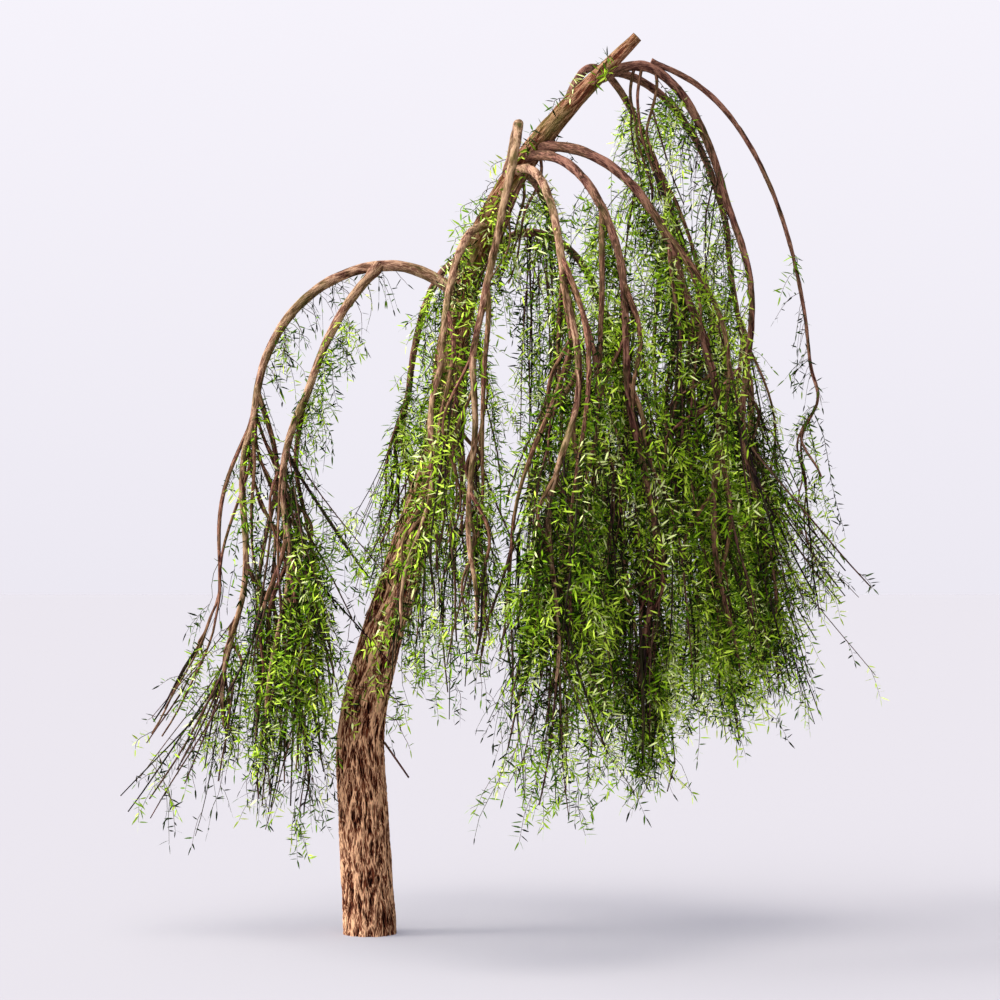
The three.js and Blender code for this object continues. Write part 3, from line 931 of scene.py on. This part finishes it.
def add_string(name, line):
    """Keeps one leafy string, unless it would hide a bare limb."""
    start = line[0].copy()
    line = sprung(leaning(line, 0.12), rng.uniform(0.01, 0.11)) + wander(len(line), 0.014, 6.0)
    line[0] = start
    if not hides_limb(name, line[len(line) // 2]) and not hides_limb(name, line[-1]):
        strings[name].append((kept_in(line), tapered(*STRING_ENDS, len(line))))


def add_spray(name, start, away=None, droop=0.02):
    """Keeps one short leafy side shoot that springs outwards and nods."""
    turn = turn_towards(away, 1.0)
    steps = np.linspace(0, 1, SPRAY_POINTS)
    out = rng.uniform(0.05, 0.20) * steps**0.8
    line = shoot_line(start, turn, out, rng.uniform(droop, 0.28) * steps**1.4)
    if not hides_limb(name, line[-1]):
        strings[name].append((kept_in(line), tapered(*SPRAY_ENDS, SPRAY_POINTS)))


def add_stick(name, line, thick):
    """Keeps one bare stick."""
    line = kept_in(leaning(line, 0.10) + wander(len(line), 0.012, 5.0))
    sticks[name].append((line, tapered(thick, thick * 0.55, len(line))))


def print_shoots():
    """Prints how many shoots have been kept so far."""
    print(sum(map(len, sticks.values())), "sticks,", sum(map(len, strings.values())), "strings")


# %% Fill the bells with sticks and strings
STRING_SHARE = 0.5
SPRAY_SHARE = 1.4


def volume(name):
    """The space that a solid takes up, in cubic metres."""
    corners = corners_of(name)
    a, b, c = (corners[[p.vertices[k] for p in solids[name].data.polygons]] for k in range(3))
    return abs(np.einsum("ij,ij->i", a, np.cross(b, c)).sum() / 6)


for name, (_, density, _, spread, per_limb, ragged, flare, trail) in GROWTH.items():
    bell = bells[name]
    usual = volume(name) * density
    for k in range(int(len(limbs[name]) * per_limb)):
        place = start_on(limbs[name], 0.2, 1.0)[0]
        hem = bell.hem(bell.told(place)[0])
        lowest = hem - trail * 0.6 + rng.uniform(-0.04, ragged * 0.7)
        drop = min(rng.uniform(0.5, 1.2), place[2] - lowest)
        if drop < 0.25:
            continue
        line = hung(bell, place, drop, rng.uniform(0.0, flare), 0.95, STICK_POINTS)
        add_stick(name, line, rng.uniform(0.005, 0.011))
    for k in range(int(usual * STRING_SHARE) + 6):
        source = limbs[name] if k % 4 == 0 or not outer_limbs[name] else outer_limbs[name]
        if k % 5 == 1:
            source = sticks[name] + leaders[name]
        place = start_on(source, 0.3 if k % 5 == 1 else 0.0)[0]
        hem = bell.hem(bell.told(place)[0])
        lowest = hem - trail + ragged * rng.uniform(0.0, 1.1) ** 2
        drop = min(rng.uniform(0.3, 0.95), place[2] - lowest)
        if drop < 0.12:
            continue
        pull = 1.0 if name == "left_fan_spray" else 0.8
        add_string(name, hung(bell, place, drop, rng.uniform(-0.05, 0.40), pull, STRING_POINTS))
    strung = strings[name][:]
    for k in range(int(usual * SPRAY_SHARE) + 10):
        source = strung if k % 2 else limbs[name] if k % 4 == 0 else sticks[name]
        place = start_on(source, 0.1, 1.0)[0]
        add_spray(name, place, place[:2] - bell.middle(place[2]) if spread > 0.8 else None)
print_shoots()

# %% [markdown]
# The arches above the bells are leafy too. Most of their shoots leave on the side that faces the
# trunk, so that the top of each arch stays clear against the sky.

# %% Hang shoots from the open boughs
# Each bough: where along it shoots begin, strings and sticks per metre, how long they hang, and its
# share of the usual number of sprays.
OPEN_BOUGHS = {
    "left_bough": (0.12, 8, 0.5, 0.45, 0.75),
    "left_inner_bough": (0.12, 15, 0.5, 0.60, 1.40),
    "front_left_bough": (0.10, 12, 0.5, 0.55, 1.0),
    "front_loop_bough": (0.45, 4, 0.3, 0.40, 0.10),
    "front_bough": (0.20, 12, 0.5, 0.80, 1.0),
    "front_right_bough": (0.23, 30, 0.8, 0.90, 1.0),
    "right_front_bough": (0.22, 46, 1.2, 1.00, 1.0),
    "right_top_bough": (0.20, 18, 1.0, 0.90, 0.50),
    "right_back_bough": (0.14, 18, 0.8, 0.90, 0.40),
    "right_outer_bough": (0.37, 3, 0.0, 0.28, 0.55),
    "back_loop_bough": (0.30, 24, 0.8, 1.00, 1.0),
    "back_arch_bough": (0.16, 24, 0.6, 1.10, 1.0),
    "back_high_bough": (0.15, 10, 0.5, 0.80, 1.0),
    "back_middle_bough": (0.12, 8, 0.5, 0.70, 1.0),
    "back_left_bough": (0.12, 8, 0.5, 0.50, 1.0),
}
OPEN_TO = 0.60
SPRAYS_PER_METRE = 34
mass_of = {}
for name, (parent, *_) in GROWTH.items():
    mass_of.setdefault(parent, name)


def inward(place):
    """The level way from a place back to the trunk."""
    on = trunk_line[np.argmin(np.abs(trunk_line[:, 2] - place[2]))]
    return on[:2] - place[:2]


for bough, (low, string_rate, stick_rate, longest, share) in OPEN_BOUGHS.items():
    name = mass_of[bough]
    whole = [carried_on[bough]]
    length = lengths_along(whole[0][0])[-1]
    for _ in range(int(length * (1 - low) * SPRAYS_PER_METRE * share)):
        place, _, radius = start_on(whole, low, 1.0)
        add_spray(name, place - UP * radius, inward(place), 0.08)
    for _ in range(int(length * (OPEN_TO - low) * string_rate)):
        place = start_on(whole, low, OPEN_TO)[0]
        drop = rng.uniform(0.25, 1.0) * longest
        flare = rng.uniform(0.04, 0.20)
        add_string(name, dropped(place, drop, flare, inward(place)))
    for _ in range(int(length * (OPEN_TO - low) * stick_rate)):
        place = start_on(whole, low, OPEN_TO)[0]
        drop = rng.uniform(0.5, 1.2) * longest
        stick = dropped(place, drop, rng.uniform(0.02, 0.12), inward(place), STICK_POINTS)
        add_stick(name, stick, rng.uniform(0.004, 0.008))
        for _ in range(3):
            place = start_on(sticks[name][-1:], 0.2, 1.0)[0]
            add_string(name, dropped(place, rng.uniform(0.3, 0.6), 0.05))
print_shoots()

# %% [markdown]
# At the skirts of a willow some stiff shoots swing out past the rest and end blunt. They leave the
# lower part of a bough in groups, and how far a stick falls goes with how wide it swings. Each carries
# some sprays and one string, so that the edge of the crown is thin and uneven. Groups are quicker to
# place than single sticks, and each group keeps the way its own bough leans.

# %% Sweep sticks out past the skirts
# Each group: the bough and the mass, from and to which share of the bough, how many sticks, how many
# leafy sprays on each, how far the narrowest and the widest swing along x, how far they scatter along
# y, and how far the narrowest and the widest fall.
SWEEPS = (
    ("left_bough", "left_fan_spray", 0.80, 0.97, 11, 4, (-0.12, -0.80), 0.14, (1.15, 0.95)),
    ("back_left_bough", "back_left_curtain", 0.30, 0.62, 8, 8, (-0.08, -0.52), 0.10, (1.2, 1.5)),
    ("left_inner_bough", "left_inner_curtain", 0.44, 0.66, 13, 12, (0.24, 0.58), 0.12, (0.9, 1.2)),
    ("front_loop_bough", "front_loop_curtain", 0.68, 0.78, 6, 8, (0.08, 0.30), 0.10, (1.1, 0.9)),
    ("back_arch_bough", "back_arch_curtain", 0.14, 0.23, 12, 10, (0.04, 0.14), 0.04, (1.7, 1.9)),
    ("front_bough", "front_curtain", 0.70, 0.98, 24, 12, (0.52, -0.58), 0.16, (1.15, 1.15)),
    ("right_top_bough", "right_curtain", 0.74, 0.90, 20, 10, (0.00, 0.66), 0.30, (1.60, 1.05)),
    ("right_back_bough", "right_back_curtain", 0.72, 0.90, 14, 10, (0.10, 0.64), 0.25, (1.60, 1.10)),
    ("right_top_bough", "right_curtain", 0.74, 0.81, 5, 2, (0.66, 0.82), 0.15, (1.25, 1.05)),
)
SWEEP_POINTS = 8
SWEEP_LOWEST = 0.7

for bough, name, low, high, count, sprays, swings, side, drops in SWEEPS:
    for _ in range(count):
        place = start_on([carried_on[bough]], low, high)[0]
        wide = rng.uniform(0, 1)
        swing = swings[0] + (swings[1] - swings[0]) * wide
        drop = (drops[0] + (drops[1] - drops[0]) * wide) * rng.uniform(0.75, 1.0)
        steps = np.linspace(0, 1, SWEEP_POINTS)
        ways = [swing * steps**1.15, rng.normal(0, side) * steps, -drop * steps]
        stick = place + np.stack(ways, axis=1)
        stick[:, 2] = np.maximum(stick[:, 2], SWEEP_LOWEST)
        add_stick(name, stick, 0.0045 + 0.0065 * rng.uniform(0, 1) ** 2)
        for _ in range(sprays):
            add_spray(name, start_on(sticks[name][-1:], 0.15, 0.92)[0], droop=0.04)
        place = start_on(sticks[name][-1:], 0.2, 0.8)[0]
        add_string(name, dropped(place, rng.uniform(0.25, 0.55), 0.06))
print_shoots()

# %% [markdown]
# A willow sends weak shoots straight out of its trunk. They are set out in groups by height, most of
# them high up, and one dead stick low down breaks the line of the bare foot.

# %% Hang shoots from the trunk
# Each group: how many, from and to what height, their length, how far they spring out, and the
# direction in degrees that they leave towards, or None where they leave on any side.
TRUNK_SHOOTS = (
    (70, 2.9, 5.4, (0.25, 0.65), (0.06, 0.14), None),
    (60, 3.2, 5.7, (0.08, 0.24), (0.06, 0.16), None),
    (26, 4.3, 5.7, (0.05, 0.14), (0.07, 0.15), 190),
    (12, 5.6, 6.25, (0.06, 0.22), (0.06, 0.16), 180),
    (7, 1.5, 2.0, (0.18, 0.34), (0.06, 0.20), -25),
    (3, 0.9, 1.3, (0.10, 0.25), (0.05, 0.10), 200),
)
UPPER_FROM = 4.3
for count, foot, head, drops, springs, facing in TRUNK_SHOOTS:
    steps = np.linspace(0, 1, STRING_POINTS)
    rings = np.nonzero((trunk_line[:, 2] > foot) & (trunk_line[:, 2] < head))[0]
    for _ in range(count):
        at = int(rng.choice(rings))
        if facing is None:
            turn = random_turn()
        else:
            turn = math.radians(facing + rng.normal(0, 25))
        out = level_way(turn)
        start = trunk_line[at] + out * trunk_radii[at]
        line = dropped(start, rng.uniform(*drops), 0.0)
        line = line + out * (rng.uniform(*springs) * steps**0.5)[:, None]
        add_string("upper_trunk_spray" if start[2] > UPPER_FROM else "trunk_spray", line)
lone_stick = np.linspace([0.10, -0.04, 1.37], [0.28, -0.10, 1.12], STICK_POINTS)
sticks["trunk_spray"].append((lone_stick, tapered(0.009, 0.007, STICK_POINTS)))
print_shoots()

# %% [markdown]
# Thousands of shoots are made as joined meshes from arrays: each shoot is a thin tube of three, five
# or seven sides, and all the tubes of one kind in one part of the crown are a single piece. The tube
# is closed at both ends, so that a shoot ends blunt, as a real one that has been nipped off does.

# %% Join shoots into one piece
def tube_arrays(line, radii, sides):
    """The corners, triangles and straightened places of one closed tube."""
    _, side, over = along_line(line)
    turns = np.linspace(0, math.tau, sides, endpoint=False)
    cos, sin = np.cos(turns), np.sin(turns)
    ring = cos[None, :, None] * side[:, None] + sin[None, :, None] * over[:, None]
    corners = (line[:, None] + radii[:, None, None] * ring).reshape(-1, 3)
    rows = np.arange(len(line) - 1)[:, None] * sides
    first = rows + np.arange(sides)
    after = rows + (np.arange(sides) + 1) % sides
    halves = ([first, after, after + sides], [first, after + sides, first + sides])
    walls = [np.stack(half, axis=-1).reshape(-1, 3) for half in halves]
    last = (len(line) - 1) * sides
    caps = [[0, k + 1, k] for k in range(1, sides - 1)]
    caps += [[last, last + k, last + k + 1] for k in range(1, sides - 1)]
    wide = np.repeat(radii, sides)
    round_it = [np.tile(cos, len(line)) * wide, np.tile(sin, len(line)) * wide]
    grain = np.stack([*round_it, np.repeat(lengths_along(line), sides)], axis=1)
    return corners, np.vstack([*walls, caps]), grain + rng.uniform(0, 9, 3)


def joined_piece(name, corners, triangles, finishes, choice, grain=None):
    """One mesh object from arrays of corners and triangles, with a finish chosen for each."""
    count = len(triangles)
    mesh = bpy.data.meshes.new(name)
    mesh.vertices.add(len(corners))
    mesh.loops.add(count * 3)
    mesh.polygons.add(count)
    for finish in finishes:
        mesh.materials.append(finish)
    fields = [
        (mesh.vertices, "co", corners, np.float32),
        (mesh.loops, "vertex_index", triangles, np.int32),
        (mesh.polygons, "loop_start", np.arange(count) * 3, np.int32),
        (mesh.polygons, "use_smooth", np.ones(count), bool),
        (mesh.polygons, "material_index", choice, np.int32),
    ]
    if grain is not None:
        attribute = mesh.attributes.new("grain", "FLOAT_VECTOR", "POINT")
        fields.append((attribute.data, "vector", grain, np.float32))
    for rows, field, values, kind in fields:
        rows.foreach_set(field, np.ascontiguousarray(values, dtype=kind).ravel())
    mesh.update(calc_edges=True)
    mesh.validate()
    piece = bpy.data.objects.new(name, mesh)
    bpy.context.scene.collection.objects.link(piece)
    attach(piece, "root")
    return piece


def join_shoots(name, shoots, sides, finishes, chances):
    """One piece from many shoots, each in one of a few finishes."""
    corners, triangles, grains, choice = [], [], [], []
    offset = 0
    for line, radii in shoots:
        places, faces, grain = tube_arrays(line, radii, sides)
        corners.append(places)
        triangles.append(faces + offset)
        grains.append(grain)
        choice.append(np.full(len(faces), rng.choice(len(finishes), p=chances)))
        offset += len(places)
    corners, triangles, grains = map(np.vstack, (corners, triangles, grains))
    return joined_piece(name, corners, triangles, finishes, np.concatenate(choice), grains)


# %% Join the limbs, sticks and strings by part of the crown
CROWN_PARTS = {
    "left": ("left_outer_curtain", "left_inner_curtain", "left_fan_spray", "left_back_curtain"),
    "middle": ("trunk_side_curtain", "upper_trunk_spray", "trunk_spray", "front_loop_curtain"),
    "front": ("front_curtain", "front_right_curtain", "right_front_curtain"),
    "right": ("right_curtain", "right_outer_curtain", "right_back_curtain", "upper_spray"),
    "back": ("back_right_curtain", "back_arch_curtain", "back_curtain"),
    "back_left": ("back_middle_curtain", "back_left_curtain"),
}


def shoot_finish(name, colour, roughness):
    """A plain colour with hardly any gloss, for shoots and leaves."""
    finish, shader = new_finish(name)
    fill(shader, {"Base Color": (*colour, 1), "Roughness": roughness, "Specular IOR Level": 0.03})
    return finish


shoot_finishes = [
    shoot_finish("shoot_dark", (0.014, 0.008, 0.009), 0.7),
    shoot_finish("shoot_brown", (0.080, 0.034, 0.027), 0.7),
    shoot_finish("shoot_green", (0.060, 0.062, 0.020), 0.65),
]
# Each kind: its shoots, the sides of its tubes, its finishes, and the chance of each finish.
SHOOT_KINDS = (
    ("limbs", limbs, 7, [limb_finish], (1.0,)),
    ("sticks", sticks, 5, stick_finishes, (0.40, 0.60)),
    ("strings", strings, 3, shoot_finishes, (0.25, 0.45, 0.30)),
)
shoot_pieces = []
for part, names in CROWN_PARTS.items():
    for kind, source, sides, finishes, chances in SHOOT_KINDS:
        shoots = [shoot for name in names for shoot in source[name]]
        piece = join_shoots(f"{part}_{kind}", shoots, sides, finishes, chances)
        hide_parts(*names)
        shoot_pieces.append(piece)
print(len(shoot_pieces), "pieces of shoots,", triangles_in(*shoot_pieces), "triangles")

# %% [markdown]
# A willow leaf is a narrow blade, widest a third of the way out and drawn to a long point, and it
# bends down a little. One leaf is modelled from a plane, and its copies are placed by arrays: every
# leaf gets a place on its string, a direction to one side, a roll about its own length and a size.
# Colour is dealt out by string, so that the leaves of one string are of about one tint.

# %% Model one leaf
LEAF_WIDTH = 0.165
LEAF_BEND = 0.10
LEAF_OUTLINE = ((0.0, 0.0), (0.30, 1.0), (0.66, 0.82), (1.0, 0.0))

bpy.ops.object.select_all(action="DESELECT")
bpy.ops.mesh.primitive_grid_add(x_subdivisions=1, y_subdivisions=3, size=1)
leaf = bpy.context.object
for corner in leaf.data.vertices:
    along, wide = LEAF_OUTLINE[round((corner.co.y + 0.5) * 3)]
    corner.co.x *= LEAF_WIDTH * wide
    corner.co.y = along
    corner.co.z = -LEAF_BEND * corner.co.y**2
bpy.ops.object.mode_set(mode="EDIT")
bpy.ops.mesh.select_all(action="SELECT")
bpy.ops.mesh.remove_doubles(threshold=0.0001)
bpy.ops.mesh.quads_convert_to_tris()
bpy.ops.object.mode_set(mode="OBJECT")
leaf_corners = np.array([v.co for v in leaf.data.vertices])
leaf_faces = np.array([p.vertices for p in leaf.data.polygons])
bpy.data.objects.remove(leaf)
print("one leaf has", len(leaf_faces), "faces")

# %% Mix the leaf tints
# Each tint: its colour, and its chance deep in the crown and out in the open.
# Dark tints dealt deep in the crown are painted shade; bright, pale ones in the open are painted light.
LEAF_TINTS = {
    "leaf_shade": ((0.006, 0.016, 0.001), 0.56, 0.08),
    "leaf_deep": ((0.046, 0.110, 0.003), 0.28, 0.17),
    "leaf_green": ((0.160, 0.300, 0.009), 0.12, 0.24),
    "leaf_fresh": ((0.330, 0.510, 0.023), 0.03, 0.25),
    "leaf_bright": ((0.540, 0.710, 0.075), 0.01, 0.16),
    "leaf_pale": ((0.740, 0.820, 0.330), 0.00, 0.10),
}
LEAF_ROUGHNESS = 0.45
leaf_finishes = [shoot_finish(name, row[0], LEAF_ROUGHNESS) for name, row in LEAF_TINTS.items()]
inner_chances, outer_chances = (np.array([row[k] for row in LEAF_TINTS.values()]) for k in (1, 2))
print(len(leaf_finishes), "leaf tints")

# %% [markdown]
# Leaves in the open are light and close together, and those deep in the crown are few and dark: the
# light tints are painted light and the dark ones painted shade. A string counts as open when its
# neighbours all lie to one side of it, which a search tree finds quickly. A slow noise is added,
# because light and dark sprays also come in patches, and bare brown shoots show where a patch is dark.

# %% Find which strings are in the open
PATCH_SIZE = (0.42, 0.42, 0.70)
PATCH_STRENGTH = 1.9
CROWD_REACH = 0.34
CROWD_LEAST = 8
HALF_FULL_SHARE = 0.375
OPEN_STRENGTH = 0.55
OPEN_LEAST = 0.22
# The part of the crown whose leaves are made lighter, as painted light, and by how much.
PAINTED_LIGHT_PART = "middle"
PAINTED_LIGHT_MORE = 0.25

middles = [(name, line[len(line) // 2]) for name in strings for line, _ in strings[name]]
crowd = KDTree(len(middles))
for k, (_, place) in enumerate(middles):
    crowd.insert(place, k)
crowd.balance()
in_the_open = {name: [] for name in strings}
for name, place in middles:
    near = [spot for spot, _, _ in crowd.find_range(place, CROWD_REACH)]
    offset = np.mean(np.array(near), axis=0) - place
    share = np.linalg.norm(offset[:2]) / (HALF_FULL_SHARE * CROWD_REACH)
    open_share = 1.0 if len(near) < CROWD_LEAST else float(eased(share))
    patch = PATCH_STRENGTH * noise.noise(Vector(place / PATCH_SIZE))
    # Strings in the middle part count as more open, so their leaves are lighter: painted light.
    painted_light = PAINTED_LIGHT_MORE if name in CROWN_PARTS[PAINTED_LIGHT_PART] else 0.0
    openness = OPEN_STRENGTH * open_share + OPEN_LEAST + patch + painted_light
    in_the_open[name].append(float(np.clip(openness, 0.0, 1.0)))
print("mean openness", round(float(np.mean(sum(in_the_open.values(), []))), 2))

# %% Set the leaves on their strings
LEAF_SPACING = (0.0138, 0.025)
SHADE_SPACING = 4.5
LEAF_SIZE = (0.050, 0.088)
SPREAD_DEG = (42, 112)
BARE_START = 0.03
LAST_TINT = len(LEAF_TINTS) - 1


def leaves_on(line, open_share):
    """The place, direction and tint of each leaf on one shoot."""
    lengths = lengths_along(line)
    spacing = rng.uniform(*LEAF_SPACING) * (1 + SHADE_SPACING * (1 - open_share) ** 3)
    marks = np.arange(BARE_START, lengths[-1], spacing)
    if len(marks) == 0:
        return []
    marks = marks + rng.uniform(-0.3, 0.3, len(marks)) * spacing
    marks = np.append(marks, lengths[-1])
    count = len(marks)
    tangents, sides, overs = along_line(line)
    k = np.clip(np.searchsorted(lengths, marks) - 1, 0, len(line) - 1)
    turns = random_turn() + np.arange(count) * math.pi + rng.normal(0, 0.5, count)
    lean = np.radians(rng.uniform(*SPREAD_DEG, count))
    lean[-1] = 0.2
    out = np.cos(turns)[:, None] * sides[k] + np.sin(turns)[:, None] * overs[k]
    way = np.cos(lean)[:, None] * tangents[k] + np.sin(lean)[:, None] * out
    # Strings deep in the crown take darker tints as painted shade, and open ones lighter tints as
    # painted light.
    chances = inner_chances + (outer_chances - inner_chances) * open_share
    tint = rng.choice(len(chances), p=chances)
    tints = tint + rng.choice([-1, 0, 1], count, p=[0.2, 0.6, 0.2])
    return [(places_at(line, marks), way, np.clip(tints, 0, LAST_TINT))]


def leaf_piece(name, shoots, open_shares):
    """One piece with all the leaves of these shoots."""
    rows = []
    for (line, _), open_share in zip(shoots, open_shares):
        rows += leaves_on(line, open_share)
    places, ways, tints = map(np.concatenate, zip(*rows))
    ways = unit(ways)
    count = len(places)
    level = unit(np.cross(ways, UP) + 1e-6)
    roll = rng.normal(0, 0.9, count)[:, None]
    across = np.cos(roll) * level + np.sin(roll) * np.cross(level, ways)
    axes = (across, ways, np.cross(across, ways))
    size = rng.uniform(*LEAF_SIZE, count)[:, None, None]
    blade = sum(leaf_corners[None, :, k, None] * axis[:, None] for k, axis in enumerate(axes))
    corners = (places[:, None] + size * blade).reshape(-1, 3)
    faces = leaf_faces + (np.arange(count) * len(leaf_corners))[:, None, None]
    choice = np.repeat(tints, len(leaf_faces))
    piece = joined_piece(name, corners, faces.reshape(-1, 3), leaf_finishes, choice)
    return piece


for part, names in CROWN_PARTS.items():
    shoots = [shoot for name in names for shoot in strings[name]]
    open_shares = sum((in_the_open[name] for name in names), [])
    piece = leaf_piece(f"{part}_leaves", shoots, open_shares)
    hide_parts(*names)
    print(part, triangles_in(piece) // len(leaf_faces), "leaves,", triangles_in(piece), "triangles")
